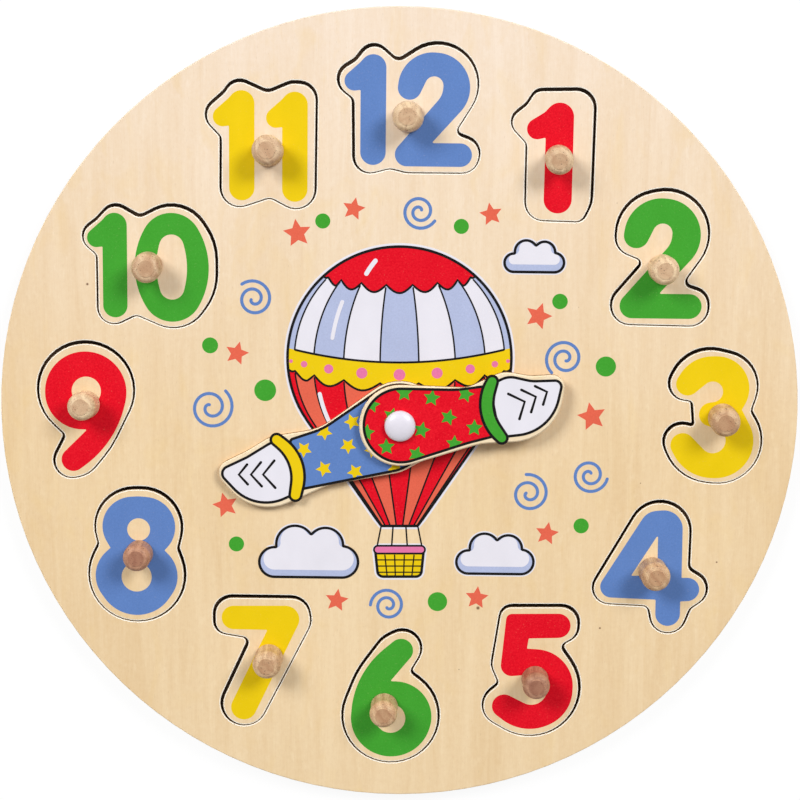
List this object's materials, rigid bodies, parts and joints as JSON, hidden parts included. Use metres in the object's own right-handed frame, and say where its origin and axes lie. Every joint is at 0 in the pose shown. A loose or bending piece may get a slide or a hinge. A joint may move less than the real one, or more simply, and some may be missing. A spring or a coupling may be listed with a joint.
{
  "type": "clock puzzle",
  "caption": "Round wooden clock puzzle board with lift-out number tiles on turned pegs and two flat hands on a domed centre rivet.",
  "frame": {"origin": "middle of the board's underside, which is the face that it lies on", "axes": "+Z out of the numbered face, +Y towards the 12, +X towards the 3"},
  "size_m": [0.3, 0.3, 0.0216],
  "materials": {
    "pale_plywood": "satin",
    "back_plywood": "satin",
    "peg_wood": "satin",
    "white_plastic": "gloss"
  },
  "bodies": {
    "board": {"back_board": "back_plywood", "top_board": "pale_plywood", "pivot_rivet": "white_plastic", "rivet_cap": "white_plastic"},
    "minute_hand": {"minute_hand": "pale_plywood"},
    "hour_hand": {"hour_hand": "pale_plywood"},
    "number_1": {"number_1_tile": "pale_plywood", "number_1_peg": "peg_wood"},
    "number_2": {"number_2_tile": "pale_plywood", "number_2_peg": "peg_wood"},
    "number_3": {"number_3_tile": "pale_plywood", "number_3_peg": "peg_wood"},
    "number_4": {"number_4_tile": "pale_plywood", "number_4_peg": "peg_wood"},
    "number_5": {"number_5_tile": "pale_plywood", "number_5_peg": "peg_wood"},
    "number_6": {"number_6_tile": "pale_plywood", "number_6_peg": "peg_wood"},
    "number_7": {"number_7_tile": "pale_plywood", "number_7_peg": "peg_wood"},
    "number_8": {"number_8_tile": "pale_plywood", "number_8_peg": "peg_wood"},
    "number_9": {"number_9_tile": "pale_plywood", "number_9_peg": "peg_wood"},
    "number_10": {"number_10_tile": "pale_plywood", "number_10_peg": "peg_wood"},
    "number_11": {"number_11_tile": "pale_plywood", "number_11_peg": "peg_wood"},
    "number_12": {"number_12_tile": "pale_plywood", "number_12_peg": "peg_wood"}
  },
  "joints": [
    {"name": "minute_hand_turn", "type": "hinge", "parent": "board", "child": "minute_hand", "pos_m": [0.0002, -0.0045, 0.0101], "axis": [0, 0, 1], "continuous": true},
    {"name": "hour_hand_turn", "type": "hinge", "parent": "board", "child": "hour_hand", "pos_m": [0.0002, -0.0045, 0.0134], "axis": [0, 0, 1], "continuous": true},
    {"name": "number_1_lift", "type": "slide", "parent": "board", "child": "number_1", "axis": [0, 0, 1], "range_m": [0, 0.04]},
    {"name": "number_2_lift", "type": "slide", "parent": "board", "child": "number_2", "axis": [0, 0, 1], "range_m": [0, 0.04]},
    {"name": "number_3_lift", "type": "slide", "parent": "board", "child": "number_3", "axis": [0, 0, 1], "range_m": [0, 0.04]},
    {"name": "number_4_lift", "type": "slide", "parent": "board", "child": "number_4", "axis": [0, 0, 1], "range_m": [0, 0.04]},
    {"name": "number_5_lift", "type": "slide", "parent": "board", "child": "number_5", "axis": [0, 0, 1], "range_m": [0, 0.04]},
    {"name": "number_6_lift", "type": "slide", "parent": "board", "child": "number_6", "axis": [0, 0, 1], "range_m": [0, 0.04]},
    {"name": "number_7_lift", "type": "slide", "parent": "board", "child": "number_7", "axis": [0, 0, 1], "range_m": [0, 0.04]},
    {"name": "number_8_lift", "type": "slide", "parent": "board", "child": "number_8", "axis": [0, 0, 1], "range_m": [0, 0.04]},
    {"name": "number_9_lift", "type": "slide", "parent": "board", "child": "number_9", "axis": [0, 0, 1], "range_m": [0, 0.04]},
    {"name": "number_10_lift", "type": "slide", "parent": "board", "child": "number_10", "axis": [0, 0, 1], "range_m": [0, 0.04]},
    {"name": "number_11_lift", "type": "slide", "parent": "board", "child": "number_11", "axis": [0, 0, 1], "range_m": [0, 0.04]},
    {"name": "number_12_lift", "type": "slide", "parent": "board", "child": "number_12", "axis": [0, 0, 1], "range_m": [0, 0.04]}
  ]
}
